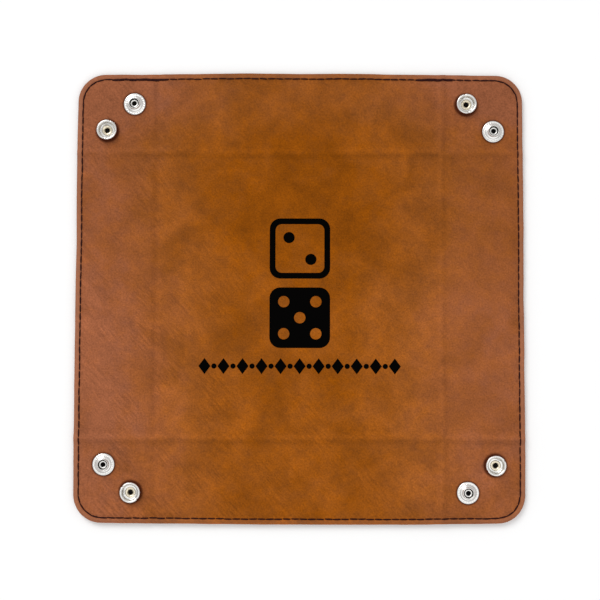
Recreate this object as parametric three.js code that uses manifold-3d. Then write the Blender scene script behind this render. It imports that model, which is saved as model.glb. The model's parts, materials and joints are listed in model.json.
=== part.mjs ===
// Folding dice tray: a square of two-ply leather with stiffening boards, laid open and flat.
// Four side flaps fold up about the fold lines, and each corner square pinches along its
// diagonal into an ear that a snap fastener closes.
//
// Millimetres, +Z up, +Y towards the back. The origin is the centre of the underside, on the
// surface that the snap heads rest on.

import * as THREE from 'three';
import { mergeVertices } from 'three/addons/utils/BufferGeometryUtils.js';
import Module from 'manifold-3d';

// ---------------------------------------------------------------- driving dimensions

const SIDE = 228.6;             // edge of the open tray, 9 inches
const CORNER_RADIUS = 14;       // rounding of the four outer corners
const FOLD = 73;                // centre of the tray to each fold line
const LEATHER = 0.9;            // thickness of the lining and of the backing
const BOARD = 1.0;              // thickness of the stiffening boards
const HEAD = 1.1;               // height of the snap heads below the corner leaves
const SEAM_GAP = 0.15;          // each panel stops this far short of a fold line
const FREE_GAP = 0.9;           // a stud leaf stops this far short of the flap it folds against
const FIT_GAP = 0.2;            // all round a board in its pocket

const BOARD_FOLD_INSET = 2.6;   // board edge to the fold line along it
const BOARD_END_INSET = 5.4;    // end of a flap's board to the fold line across it
const BOARD_EDGE_INSET = 5.0;   // board edge to the outer edge, past the stitching
const STITCH_INSET = 2.5;       // centre of the stitching to the outer edge
const STITCH_WIDTH = 0.7;
const STITCH_HEIGHT = 0.35;

const SNAP_NEAR = 14.9;         // snap centre to the nearer outer edge
const SNAP_FAR = 28.8;          // snap centre to the other outer edge
const PLY_HOLE = 2.1;           // radius of the holes that the snap posts pass through
const ROUND_STEPS = 20;         // facets round a snap
const TIP_RELIEF = 2.2;         // radius left free at the point where the fold lines meet

const HALF = SIDE / 2;
const JOIN = HEAD + LEATHER;                    // height where the two plies meet
const LEAF_TOP = JOIN + LEATHER;                // top face of a corner leaf
const PANEL_BOTTOM = JOIN - BOARD / 2 - LEATHER;
const PANEL_TOP = JOIN + BOARD / 2 + LEATHER;

// ---------------------------------------------------------------- materials

function finish(name, colour, roughness, metalness = 0) {
  const material = new THREE.MeshStandardMaterial({ color: colour, roughness, metalness });
  material.name = name;
  return material;
}

const LINING = finish('lining_leather', 0xb07343, 0.62);
const BACKING = finish('backing_leather', 0x8f5a34, 0.68);
const BOARD_PULP = finish('stiffening_board', 0x9a8f7c, 0.9);
const THREAD = finish('thread', 0x1d1413, 0.75);
const NICKEL = finish('nickel', 0xd9d9d6, 0.22, 1.0);
const BRASS = finish('brass', 0xb69a63, 0.3, 1.0);

// ---------------------------------------------------------------- solids

const wasm = await Module();
wasm.setup();

/** Turns a closed three.js geometry into a solid that can be cut. */
function toSolid(geometry) {
  const bare = geometry.index ? geometry.toNonIndexed() : geometry.clone();
  bare.deleteAttribute('normal');
  bare.deleteAttribute('uv');
  const merged = mergeVertices(bare, 1e-4);
  return new wasm.Manifold(new wasm.Mesh({
    numProp: 3,
    vertProperties: Float32Array.from(merged.attributes.position.array),
    triVerts: Uint32Array.from(merged.index.array),
  }));
}

/** Turns a cut solid back into a flat-shaded geometry. */
function toGeometry(solid) {
  const { vertProperties, triVerts } = solid.getMesh();
  const indexed = new THREE.BufferGeometry();
  indexed.setAttribute('position', new THREE.BufferAttribute(vertProperties, 3));
  indexed.setIndex(new THREE.BufferAttribute(triVerts, 1));
  const geometry = indexed.toNonIndexed();
  geometry.computeVertexNormals();
  return geometry;
}

/** Extrudes an outline between two heights. */
function plate(outline, low, high) {
  const settings = { depth: high - low, bevelEnabled: false, curveSegments: 6 };
  return new THREE.ExtrudeGeometry(outline, settings).translate(0, 0, low);
}

/** A plate with a shallow pocket for the board, open on the side where the plies meet. */
function pocketed(outline, low, high, pocket, pocketLow, pocketHigh) {
  const body = toSolid(plate(outline, low, high));
  const hollow = toSolid(plate(pocket, pocketLow, pocketHigh));
  return toGeometry(body.subtract(hollow));
}

/** Turns a closed or axis-to-axis profile of [radius, height] pairs about a vertical axis. */
function turned(profile) {
  const points = profile.map(([radius, height]) => new THREE.Vector2(radius, height));
  return new THREE.LatheGeometry(points, ROUND_STEPS).rotateX(Math.PI / 2);
}

// ---------------------------------------------------------------- outlines

function rectangle(left, bottom, right, top) {
  const outline = new THREE.Shape();
  outline.moveTo(left, bottom);
  outline.lineTo(right, bottom);
  outline.lineTo(right, top);
  outline.lineTo(left, top);
  outline.closePath();
  return outline;
}

/** The triangle between a fold line and the corner's diagonal, with the outer corner rounded. */
function leafOutline(foldGap) {
  const side = FOLD + foldGap;
  const slip = SEAM_GAP * Math.SQRT2;           // gap across the diagonal, measured along Y
  const arcCentre = HALF - CORNER_RADIUS;
  const arcMiddle = arcCentre + CORNER_RADIUS * Math.SQRT1_2;
  const reliefHeight = Math.sqrt(TIP_RELIEF ** 2 - foldGap ** 2);
  const reliefMiddle = FOLD + TIP_RELIEF * Math.SQRT1_2;
  const outline = new THREE.Shape();
  outline.moveTo(side, FOLD + reliefHeight);
  outline.lineTo(reliefMiddle, reliefMiddle + slip);
  outline.lineTo(arcMiddle - slip / 2, arcMiddle + slip / 2);
  outline.absarc(arcCentre, arcCentre, CORNER_RADIUS, Math.PI / 4 + slip / CORNER_RADIUS, Math.PI / 2);
  outline.lineTo(side, HALF);
  outline.closePath();
  return outline;
}

function roundHole(x, y, radius) {
  const hole = new THREE.Path();
  hole.absarc(x, y, radius, 0, Math.PI * 2, true);
  return hole;
}

/** The same outline reflected in the corner's diagonal, which swaps X and Y. */
function mirrored(shape) {
  const swap = (points) => points.map((point) => new THREE.Vector2(point.y, point.x)).reverse();
  const { shape: rim, holes } = shape.extractPoints(6);
  const outline = new THREE.Shape(swap(rim));
  outline.holes = holes.map((hole) => new THREE.Path(swap(hole)));
  return outline;
}

// ---------------------------------------------------------------- pieces

const tray = new THREE.Group();
tray.name = 'folding_dice_tray';

function place(parent, name, geometry, material, x = 0, y = 0) {
  const mesh = new THREE.Mesh(geometry, material);
  mesh.name = name;
  mesh.position.set(x, y, 0);
  parent.add(mesh);
}

/** Lining above, board in the middle and backing below: the three layers of a stiff panel. */
function addPanel(parent, name, outline, board, pocket) {
  const boardLow = JOIN - BOARD / 2;
  const boardHigh = JOIN + BOARD / 2;
  const overcut = 0.5;
  const lining = pocketed(outline, JOIN, PANEL_TOP, pocket, JOIN - overcut, boardHigh);
  const backing = pocketed(outline, PANEL_BOTTOM, JOIN, pocket, boardLow, JOIN + overcut);
  place(parent, `${name}_lining`, lining, LINING);
  place(parent, `${name}_board`, plate(board, boardLow, boardHigh), BOARD_PULP);
  place(parent, `${name}_backing`, backing, BACKING);
}

function addBase() {
  const edge = FOLD - SEAM_GAP;
  const board = FOLD - BOARD_FOLD_INSET;
  const pocket = board + FIT_GAP;
  addPanel(tray, 'base', rectangle(-edge, -edge, edge, edge),
    rectangle(-board, -board, board, board), rectangle(-pocket, -pocket, pocket, pocket));
}

function addFlap(parent, name) {
  const end = FOLD - SEAM_GAP;
  const boardEnd = FOLD - BOARD_END_INSET;
  const boardNear = FOLD + BOARD_FOLD_INSET;
  const boardFar = HALF - BOARD_EDGE_INSET;
  addPanel(parent, name, rectangle(-end, FOLD + SEAM_GAP, end, HALF),
    rectangle(-boardEnd, boardNear, boardEnd, boardFar),
    rectangle(-boardEnd - FIT_GAP, boardNear - FIT_GAP, boardEnd + FIT_GAP, boardFar + FIT_GAP));
  const seamLine = HALF - STITCH_INSET;
  const seamEnd = end - STITCH_HEIGHT;          // the runs on two raised flaps don't meet
  const seam = rectangle(-seamEnd, seamLine - STITCH_WIDTH / 2, seamEnd, seamLine + STITCH_WIDTH / 2);
  place(parent, `${name}_stitching`, plate(seam, PANEL_TOP, PANEL_TOP + STITCH_HEIGHT), THREAD);
}

/** The run of stitching on a leaf: straight from the fold line, then round to the diagonal. */
function leafSeam(foldGap) {
  const side = FOLD + foldGap;
  const centre = HALF - CORNER_RADIUS;
  const inner = CORNER_RADIUS - STITCH_INSET - STITCH_WIDTH / 2;
  const outer = inner + STITCH_WIDTH;
  const stop = Math.PI / 4 + SEAM_GAP / inner;
  const seam = new THREE.Shape();
  seam.moveTo(side, centre + inner);
  seam.absarc(centre, centre, inner, Math.PI / 2, stop, true);
  seam.absarc(centre, centre, outer, stop, Math.PI / 2);
  seam.lineTo(side, centre + outer);
  seam.closePath();
  return seam;
}

/** One leaf of a corner: lining, backing and stitching, with a hole for its snap. */
function addLeaf(parent, name, outline, seam) {
  place(parent, `${name}_lining`, plate(outline, JOIN, LEAF_TOP), LINING);
  place(parent, `${name}_backing`, plate(outline, HEAD, JOIN), BACKING);
  place(parent, `${name}_stitching`, plate(seam, LEAF_TOP, LEAF_TOP + STITCH_HEIGHT), THREAD);
}

/** The domed head under the leaf, whose post is spread over the floor of the socket. */
function capGeometry() {
  const floor = LEAF_TOP + 0.65;
  return turned([
    [0, 0], [5.2, 0], [6.0, 0.35], [6.2, 0.75], [6.0, HEAD], [1.8, HEAD],
    [1.8, floor], [2.6, floor], [2.6, floor + 0.2], [2.2, floor + 0.4],
    [1.4, floor + 0.4], [1.15, floor], [1.15, HEAD], [0, HEAD - 0.2],
  ]);
}

/** The cup that takes the stud: a flared rolled rim on a narrower base. */
function socketGeometry() {
  const top = LEAF_TOP;
  return turned([
    [2.1, top], [4.3, top], [4.3, top + 2.1], [5.15, top + 2.8], [5.15, top + 3.2],
    [4.85, top + 3.5], [4.2, top + 3.5], [3.7, top + 3.2], [3.6, top + 2.7],
    [3.9, top + 2.1], [3.9, top + 0.6], [2.1, top + 0.6], [2.1, top],
  ]);
}

/** The stud: a wide flange with a hollow boss that is slightly bulbed at its tip. */
function studGeometry() {
  const top = LEAF_TOP;
  return turned([
    [1.75, top], [5.55, top], [5.55, top + 0.3], [5.3, top + 0.5], [3.8, top + 0.5],
    [2.8, top + 1.3], [2.8, top + 1.9], [3.05, top + 2.5], [2.8, top + 3.0],
    [2.4, top + 3.0], [2.25, top + 2.7], [2.25, top + 1.2], [1.75, top + 1.2], [1.75, top],
  ]);
}

/** The hollow post of the stud, with its head under the leaf and its end rolled inside the boss. */
function eyeletGeometry() {
  const roll = LEAF_TOP + 1.25;
  return turned([
    [1.5, 0], [4.4, 0], [5.0, 0.4], [5.0, 0.8], [4.7, HEAD], [1.45, HEAD],
    [1.45, roll], [1.9, roll], [1.95, roll + 0.25], [1.7, roll + 0.5], [1.3, roll + 0.5],
    [1.15, roll + 0.2], [1.15, 0.3], [1.5, 0],
  ]);
}

/** A side of the tray: its flap, and the corner at the flap's right-hand end. */
function addSide(index, flapName, cornerName) {
  const side = new THREE.Group();
  side.rotation.z = -index * Math.PI / 2;
  tray.add(side);
  addFlap(side, flapName);

  const near = HALF - SNAP_NEAR;
  const far = HALF - SNAP_FAR;
  const socketLeaf = leafOutline(SEAM_GAP);
  const studLeaf = leafOutline(FREE_GAP);
  [socketLeaf, studLeaf].forEach((leaf) => leaf.holes.push(roundHole(far, near, PLY_HOLE)));
  addLeaf(side, `${cornerName}_socket_leaf`, socketLeaf, leafSeam(SEAM_GAP));
  addLeaf(side, `${cornerName}_stud_leaf`, mirrored(studLeaf), mirrored(leafSeam(FREE_GAP)));
  place(side, `${cornerName}_cap`, capGeometry(), NICKEL, far, near);
  place(side, `${cornerName}_socket`, socketGeometry(), NICKEL, far, near);
  place(side, `${cornerName}_eyelet`, eyeletGeometry(), BRASS, near, far);
  place(side, `${cornerName}_stud`, studGeometry(), NICKEL, near, far);
}

const SIDES = [
  ['flap_back', 'back_right'],
  ['flap_right', 'front_right'],
  ['flap_front', 'front_left'],
  ['flap_left', 'back_left'],
];

addBase();
SIDES.forEach(([flapName, cornerName], index) => addSide(index, flapName, cornerName));

export default tray;
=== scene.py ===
"""The looks of a folding dice tray: leatherette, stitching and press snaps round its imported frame.

Everything is in metres in the row frame. The leather is one continuous relief, cut into pieces
along the lines where the tray bends, so that no seam shows while it lies open.
"""

import functools
import json
import math

import bmesh
import bpy
import numpy as np
from mathutils import Matrix, Vector


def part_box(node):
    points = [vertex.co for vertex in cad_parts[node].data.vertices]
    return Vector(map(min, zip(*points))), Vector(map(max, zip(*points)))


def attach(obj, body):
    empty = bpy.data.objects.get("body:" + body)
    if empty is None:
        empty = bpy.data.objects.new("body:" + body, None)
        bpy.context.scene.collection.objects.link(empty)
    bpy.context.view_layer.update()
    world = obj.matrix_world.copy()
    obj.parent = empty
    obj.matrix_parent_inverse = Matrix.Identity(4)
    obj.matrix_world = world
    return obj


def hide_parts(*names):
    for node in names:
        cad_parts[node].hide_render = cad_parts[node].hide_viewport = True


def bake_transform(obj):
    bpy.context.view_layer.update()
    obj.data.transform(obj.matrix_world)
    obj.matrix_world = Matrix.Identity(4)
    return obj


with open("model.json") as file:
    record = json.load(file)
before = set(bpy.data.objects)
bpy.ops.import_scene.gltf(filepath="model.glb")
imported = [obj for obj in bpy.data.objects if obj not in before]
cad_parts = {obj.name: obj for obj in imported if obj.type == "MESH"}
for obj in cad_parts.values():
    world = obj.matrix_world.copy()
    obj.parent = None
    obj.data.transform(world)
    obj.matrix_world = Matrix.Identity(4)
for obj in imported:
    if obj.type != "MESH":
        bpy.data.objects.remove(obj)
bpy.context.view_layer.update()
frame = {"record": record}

# ------ sizes from the frame

MM = 0.001
JOINTS = {joint["name"]: joint for joint in frame["record"]["behaviour"]["joints"]}

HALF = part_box("flap_back_lining")[1][1]  # centre to the outer edge
FOLD = JOINTS["fold_back"]["pos_m"][1]  # centre to a fold line
PINCH = JOINTS["pinch_back_right"]["pos_m"][0]  # where the end of a flap bends
LEAF_LOW, LEAF_HIGH = (corner[2] for corner in (
    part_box("back_right_socket_leaf_backing")[0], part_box("back_right_socket_leaf_lining")[1]))
PANEL_LOW, PANEL_HIGH = (corner[2] for corner in (
    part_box("base_backing")[0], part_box("base_lining")[1]))
JOIN = (LEAF_LOW + LEAF_HIGH) / 2  # where the two plies meet
BOARD_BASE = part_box("base_board")[1][0]  # half width of the base's board
BOARD_NEAR, BOARD_FAR = (corner[1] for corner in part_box("flap_back_board"))
BOARD_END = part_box("flap_back_board")[1][0]

CORNER_RADIUS = 14 * MM
CREASE_WIDTH = 1.8 * MM
CREASE_HEIGHT = 0.8 * MM
BACK_CREASE_HEIGHT = 0.25 * MM
FOLD_BAND = 2.4 * MM  # half width of the strip that bends between base and flap
PINCH_BAND = 2.4 * MM  # half width of the strip that bends at the end of a flap
DIAGONAL_BAND = 3.2 * MM  # half width of the strip that bends along a corner's diagonal
STITCH_INSET = 2.5 * MM
STITCH_PITCH = 4.2 * MM

SIDES = ["back", "right", "front", "left"]
CORNERS = ["back_right", "front_right", "front_left", "back_left"]


def middle(node):
    """The centre of a CAD node's box, as x and y."""
    low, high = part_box(node)
    return (np.array(low[:2]) + np.array(high[:2])) / 2


SNAPS = [middle(f"{corner}_{kind}") for corner in CORNERS for kind in ("socket", "stud")]


def turned(points, quarter_turns):
    """Points of the back side, turned clockwise onto another side."""
    x, y = points[..., 0], points[..., 1]
    for _ in range(quarter_turns):
        x, y = y, -x
    return np.stack([x, y], axis=-1)


# ------ relief of the leather

def smooth(value):
    value = np.clip(value, 0.0, 1.0)
    return value * value * (3 - 2 * value)


@functools.lru_cache(maxsize=None)
def lattice_of(seed, cells):
    return np.random.RandomState(seed).uniform(-1, 1, (cells, cells))


def noise(x, y, size, seed):
    """Smooth seeded noise from -1 to 1, with bumps of about the given size."""
    cells = 64
    lattice = lattice_of(seed, cells)
    u, v = x / size + 100, y / size + 100
    i, j = np.floor(u).astype(int), np.floor(v).astype(int)
    s, t = smooth(u - i), smooth(v - j)

    def value(a, b):
        return lattice[a % cells, b % cells]

    low = value(i, j) * (1 - s) + value(i + 1, j) * s
    high = value(i, j + 1) * (1 - s) + value(i + 1, j + 1) * s
    return low * (1 - t) + high * t


def edge_distance(x, y):
    """How far a point is inside the rounded outer edge."""
    beyond_x = np.abs(x) - (HALF - CORNER_RADIUS)
    beyond_y = np.abs(y) - (HALF - CORNER_RADIUS)
    outside = np.hypot(np.maximum(beyond_x, 0), np.maximum(beyond_y, 0))
    return CORNER_RADIUS - outside - np.minimum(np.maximum(beyond_x, beyond_y), 0)


def board_share(x, y):
    """1 over the stiffening boards and 0 between them, with soft shoulders."""
    a, b = np.maximum(np.abs(x), np.abs(y)), np.minimum(np.abs(x), np.abs(y))
    base = BOARD_BASE - a
    flap = np.minimum(np.minimum(a - BOARD_NEAR, BOARD_FAR - a), BOARD_END - b)
    shoulder = 3.4 * MM
    return smooth(0.5 + np.maximum(base, flap) / shoulder)


def crease(across, along, line, seed):
    """A welt of unit height along a line that wanders a little."""
    drift = 0.35 * MM * noise(along, np.full_like(along, line), 34 * MM, seed)
    swell = 0.85 + 0.3 * noise(along, np.full_like(along, line), 11 * MM, seed + 5)
    return swell * np.exp(-(((across - line - drift) / CREASE_WIDTH) ** 2))


def fold_ridges(x, y):
    """The welts that three of the fold lines leave from edge to edge, and the left one's groove."""
    right = crease(x, y, FOLD, 3)
    left = 0.7 * crease(x, y, -FOLD - 0.5 * MM, 4)
    back = crease(y, x, FOLD + 1.0 * MM, 5)
    front = 1.25 * crease(y, x, -FOLD + 0.5 * MM, 6)
    return np.maximum(np.maximum(right, back), front) - left * (1 - np.maximum(back, front))


def painted_crease_light_and_shade(x, y):
    """Painted light and shade along the welts: from 1, painted lighter where a welt faces the key light,
    to -1, painted darker where it turns away.
    """
    step = CREASE_WIDTH / 4
    rise_x = fold_ridges(x + step, y) - fold_ridges(x - step, y)
    rise_y = fold_ridges(x, y + step) - fold_ridges(x, y - step)
    return np.clip(-2.4 * (rise_y - 0.7 * rise_x), -1, 1)


def snap_seats(x, y):
    """1 under the snaps, where the leather is pressed flat, and 0 away from them."""
    pressed = np.zeros_like(x)
    for sx, sy in SNAPS:
        away = np.hypot(x - sx, y - sy)
        pressed = np.maximum(pressed, smooth((9.8 * MM - away) / (3.2 * MM)))
    return pressed


def edge_roll(distance):
    """0 inside the edge and 1 on it, as a rounded-over ply falls away."""
    roll = 0.55 * MM
    left = np.clip((roll - distance) / roll, 0, 1)
    return 1 - np.sqrt(np.clip(1 - left * left, 0, 1))


def stitch_groove(x, y, distance):
    """The furrow that the thread pulls, deepest at the stitch holes."""
    along = np.where(np.abs(x) > np.abs(y), y, x)
    pull = 0.75 + 0.25 * np.cos(2 * math.pi * along / STITCH_PITCH)
    return pull * np.exp(-(((distance - STITCH_INSET) / (0.75 * MM)) ** 2))


def relief(x, y, seed, crease_height):
    """How far a face stands out over the plain leaf, in metres."""
    distance = edge_distance(x, y)
    height = 0.42 * MM * board_share(x, y)
    height += crease_height * fold_ridges(x, y)
    height += 0.13 * MM * noise(x, y, 31 * MM, seed) + 0.06 * MM * noise(x, y, 11 * MM, seed + 1)
    height *= 1 - snap_seats(x, y)
    height -= 0.34 * MM * stitch_groove(x, y, distance)
    height -= 0.40 * MM * edge_roll(distance)
    return height


def pinch_clearance(x, y):
    """0 along the lines at the ends of the flaps, where the backs of two pieces meet, and 1 elsewhere."""
    outer, inner = np.maximum(np.abs(x), np.abs(y)), np.minimum(np.abs(x), np.abs(y))
    at_end = smooth((outer - FOLD + FOLD_BAND) / FOLD_BAND)
    near = smooth(1.25 - np.abs(inner - PINCH) / (3.2 * MM))
    return 1 - at_end * near


def face_height(x, y):
    return LEAF_HIGH + relief(x, y, 11, CREASE_HEIGHT)


def back_height(x, y):
    return LEAF_LOW - pinch_clearance(x, y) * relief(x, y, 21, BACK_CREASE_HEIGHT)


def edge_shift(x, y):
    """How far the edge wanders outwards: the cut is by hand, and the flaps bow a little."""
    near = smooth(1 - edge_distance(x, y) / (9 * MM))
    bow = np.clip(1 - (np.minimum(np.abs(x), np.abs(y)) / HALF) ** 2, 0, 1)
    upright = smooth((np.abs(y) - np.abs(x)) / (30 * MM) + 0.5)
    swing = 0.4 * MM + upright * (0.1 + 0.8 * bow) * MM
    swing += 0.24 * MM * noise(x, y, 27 * MM, 31) + 0.12 * MM * noise(x, y, 9 * MM, 32)
    reach = np.maximum(np.hypot(x, y), 1e-9)
    return near * swing * x / reach, near * swing * y / reach


def wavy(x, y):
    dx, dy = edge_shift(x, y)
    return x + dx, y + dy


def unwavy(x, y):
    """The place a point had before its edge was shifted."""
    plain_x, plain_y = x, y
    for _ in range(3):
        dx, dy = edge_shift(plain_x, plain_y)
        plain_x, plain_y = x - dx, y - dy
    return plain_x, plain_y


def rounded(x, y):
    """Squeezes the square corners of a grid into the round corners of the tray."""
    start = HALF - CORNER_RADIUS
    u, v = np.abs(x) - start, np.abs(y) - start
    inside = (u > 0) & (v > 0)
    reach = np.maximum(u, v)
    slope = np.minimum(u, v) / np.maximum(reach, 1e-12)
    angle = np.where(u >= v, math.pi / 4 * slope, math.pi / 2 - math.pi / 4 * slope)
    new_x = np.where(inside, np.sign(x) * (start + reach * np.cos(angle)), x)
    new_y = np.where(inside, np.sign(y) * (start + reach * np.sin(angle)), y)
    return new_x, new_y


# ------ leather pieces

def lines(start, stop, step):
    """Evenly spaced grid lines, with both ends."""
    count = max(1, int(math.ceil((stop - start) / step)))
    return np.linspace(start, stop, count + 1)


# Distances of the grid lines from the outer edge, where the ply rounds over.
EDGE_STEPS = np.array([0, 0.12, 0.3, 0.55, 0.8, 1.2, 1.6, 2.0, 2.5, 3.0, 3.5, 4.2, 5.2]) * MM
GRID = 1.25 * MM


def to_the_edge(start):
    """Grid lines from a start to the outer edge, closer together at the edge."""
    inner = lines(start, HALF - EDGE_STEPS[-1], GRID)
    return np.concatenate([inner[:-1], HALF - EDGE_STEPS[::-1]])


def grid_mesh(xs, ys):
    """A bmesh grid of the given lines."""
    mesh = bmesh.new()
    rows = [[mesh.verts.new((x, y, 0)) for x in xs] for y in ys]
    for low, high in zip(rows, rows[1:]):
        for i in range(len(xs) - 1):
            mesh.faces.new((low[i], low[i + 1], high[i + 1], high[i]))
    return mesh


def cut_along(mesh, point, normal, only, side):
    """Cuts the faces that only() picks along a line, and drops those on the given side of it."""
    faces = [face for face in mesh.faces if only(face.calc_center_median())]
    geom = list({*faces, *(e for f in faces for e in f.edges), *(v for f in faces for v in f.verts)})
    bmesh.ops.bisect_plane(mesh, geom=geom, plane_co=point, plane_no=normal, dist=1e-7)
    normal = Vector(normal)
    gone = [
        face for face in mesh.faces
        if only(face.calc_center_median())
        and (face.calc_center_median() - Vector(point)).dot(normal) * side > 0
    ]
    bmesh.ops.delete(mesh, geom=gone, context="FACES")
    loose = [vert for vert in mesh.verts if not vert.link_faces]
    bmesh.ops.delete(mesh, geom=loose, context="VERTS")


# The line in the back right corner where the socket half gives way to the diagonal's strip.
LIP = FOLD - FOLD_BAND
SPLIT_POINT = (LIP, LIP + (DIAGONAL_BAND + 0.3 * MM) * math.sqrt(2), 0)
SPLIT_NORMAL = (-math.sqrt(0.5), math.sqrt(0.5), 0)

# The line across the diagonal that parts the base's small triangle from the corner.
TIP_SUM = 2 * FOLD - 0.3 * MM
TIP_POINT = (TIP_SUM / 2, TIP_SUM / 2, 0)
TIP_NORMAL = (math.sqrt(0.5), math.sqrt(0.5), 0)


def everywhere(centre):
    return True


def add_turned(mesh, patch, quarter_turns):
    """Copies a patch of plan into a mesh, turned onto a side."""
    copies = {}
    for vert in patch.verts:
        x, y = turned(np.array(vert.co[:2]), quarter_turns)
        copies[vert] = mesh.verts.new((x, y, 0))
    for face in patch.faces:
        mesh.faces.new([copies[vert] for vert in face.verts])
    patch.free()


def base_plan():
    """The base, with a small flat triangle and tab at each corner, where the folds meet."""
    across = lines(-LIP, LIP, GRID)
    mesh = grid_mesh(across, across)
    for quarter_turns in range(4):
        tip = grid_mesh(lines(LIP, TIP_SUM - PINCH, MM), lines(PINCH, TIP_SUM - LIP, MM))
        cut_along(tip, TIP_POINT, TIP_NORMAL, everywhere, 1)
        add_turned(mesh, tip, quarter_turns)
        tab = grid_mesh(lines(PINCH - PINCH_BAND, LIP, MM), lines(LIP, FOLD, MM))
        add_turned(mesh, tab, quarter_turns)
    return mesh


def flap_plan():
    """The back flap, from its strip at the fold line to the outer edge."""
    return grid_mesh(lines(-PINCH, PINCH - PINCH_BAND, GRID), to_the_edge(LIP))


def socket_leaf_plan():
    """The back right corner's half along the back flap, without the foot that is the base's tab."""
    start = PINCH - PINCH_BAND
    xs = np.concatenate([lines(start, LIP, 1.1 * MM)[:-1], to_the_edge(LIP)])
    mesh = grid_mesh(xs, to_the_edge(LIP))
    cut_along(mesh, SPLIT_POINT, SPLIT_NORMAL, lambda centre: centre[0] > LIP, -1)
    cut_along(mesh, (0, FOLD, 0), (0, 1, 0), lambda centre: centre[0] < LIP, -1)
    return mesh


def stud_leaf_plan():
    """The same corner's other half, from the diagonal's strip, without the base's triangle."""
    ys = np.concatenate([lines(PINCH, LIP, 1.0 * MM)[:-1], to_the_edge(LIP)])
    mesh = grid_mesh(to_the_edge(LIP), ys)
    cut_along(mesh, SPLIT_POINT, SPLIT_NORMAL, everywhere, 1)
    cut_along(mesh, TIP_POINT, TIP_NORMAL, everywhere, -1)
    return mesh


def plan_arrays(mesh, quarter_turns):
    """The plan's points, turned onto a side and fitted to the rounded outline, and its faces."""
    bmesh.ops.triangulate(mesh, faces=[f for f in mesh.faces if len(f.verts) > 4])
    mesh.verts.index_update()
    plan = np.array([vert.co[:2] for vert in mesh.verts])
    faces = [[vert.index for vert in face.verts] for face in mesh.faces]
    mesh.free()
    points = turned(plan, quarter_turns)
    x, y = wavy(*rounded(points[:, 0], points[:, 1]))
    return x, y, faces


SHARP_EDGE = 55  # degrees between faces past which an edge is shaded sharp


def slab(name, plan, top, bottom):
    """A closed ply between two heights over a plan, sharp only round its rim."""
    x, y, faces = plan
    mesh = bmesh.new()
    upper = [mesh.verts.new(p) for p in zip(x, y, top)]
    lower = [mesh.verts.new(p) for p in zip(x, y, bottom)]
    for face in faces:
        mesh.faces.new([upper[i] for i in face])
        mesh.faces.new([lower[i] for i in reversed(face)])
    sides = dict.fromkeys(side for face in faces for side in zip(face, face[1:] + face[:1]))
    for a, b in sides:
        if (b, a) not in sides:
            mesh.faces.new([upper[b], upper[a], lower[a], lower[b]])
    mesh.normal_update()
    return finished(name, mesh_data(name, mesh))


def mesh_data(name, mesh):
    """A bmesh written out as mesh data, and freed."""
    data = bpy.data.meshes.new(name)
    mesh.to_mesh(data)
    mesh.free()
    return data


def outward_data(name, mesh):
    """The same, with every face turned outwards."""
    bmesh.ops.recalc_face_normals(mesh, faces=mesh.faces)
    return mesh_data(name, mesh)


def placed(name, data):
    """A new object of the given data in the scene."""
    obj = bpy.data.objects.new(name, data)
    bpy.context.scene.collection.objects.link(obj)
    return obj


def finished(name, data, sharp=SHARP_EDGE):
    """Puts a mesh in the scene, shaded smooth except at sharp edges, with its rest place stored."""
    finish_shading(data, sharp)
    return placed(name, data)


def finish_shading(data, sharp):
    data.polygons.foreach_set("use_smooth", [True] * len(data.polygons))
    data.set_sharp_from_angle(angle=math.radians(sharp))
    store_rest(data)


def store(data, name, kind, field, values):
    """Writes one value per point into a mesh attribute."""
    if name in data.attributes:
        data.attributes.remove(data.attributes[name])
    data.attributes.new(name, kind, "POINT").data.foreach_set(field, values.astype(np.float32).ravel())


def store_rest(data):
    """Keeps each point's place at rest, its way to the outer edge, and the painted light and shade along
    the welts, for the materials.
    """
    places = np.zeros(len(data.vertices) * 3)
    data.vertices.foreach_get("co", places)
    places = places.reshape(-1, 3)
    store(data, "rest_place", "FLOAT_VECTOR", "vector", places)
    x, y = places[:, 0], places[:, 1]
    store(data, "edge_gap", "FLOAT", "value", edge_distance(*unwavy(x, y)))
    # painted light and shade along the welts, for the lining's colour
    store(data, "painted_crease_light_and_shade", "FLOAT", "value", painted_crease_light_and_shade(x, y))


PLY_GAP = 0.02 * MM  # from the middle of the leaf to each ply
POST_HOLE = 2.05 * MM  # radius of the hole for a snap's post


def punch(obj, snap_node):
    """Cuts the hole through a leaf in which a snap's post stands."""
    x, y = middle(snap_node)
    carve(obj, prism("hole", disc(x, y, POST_HOLE, 32), -MM, 8 * MM))
    finish_shading(obj.data, SHARP_EDGE)


def leather_pair(name, mesh, quarter_turns, snap_node=None):
    """The lining and the backing over one plan."""
    plan = plan_arrays(mesh, quarter_turns)
    x, y, _ = plan
    lining = slab(f"{name}_lining_leather", plan, face_height(x, y), np.full_like(x, JOIN + PLY_GAP))
    backing = slab(f"{name}_backing_leather", plan, np.full_like(x, JOIN - PLY_GAP), back_height(x, y))
    lining.data.materials.append(LINING)
    backing.data.materials.append(BACKING)
    for obj, slot in ((lining, "lining_leather"), (backing, "backing_leather")):
        if snap_node:
            punch(obj, snap_node)
    return lining, backing


def declare_ply(obj):
    """Measures a ply's width, its length and its upward-facing area; nothing uses them."""
    places = np.array([vert.co[:] for vert in obj.data.vertices])
    width, length = (float(size) for size in (places.max(axis=0) - places.min(axis=0))[:2])
    area = float(sum(p.area for p in obj.data.polygons if p.normal.z > 0.5))
    area = min(area, width * length)


# ------ materials

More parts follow.
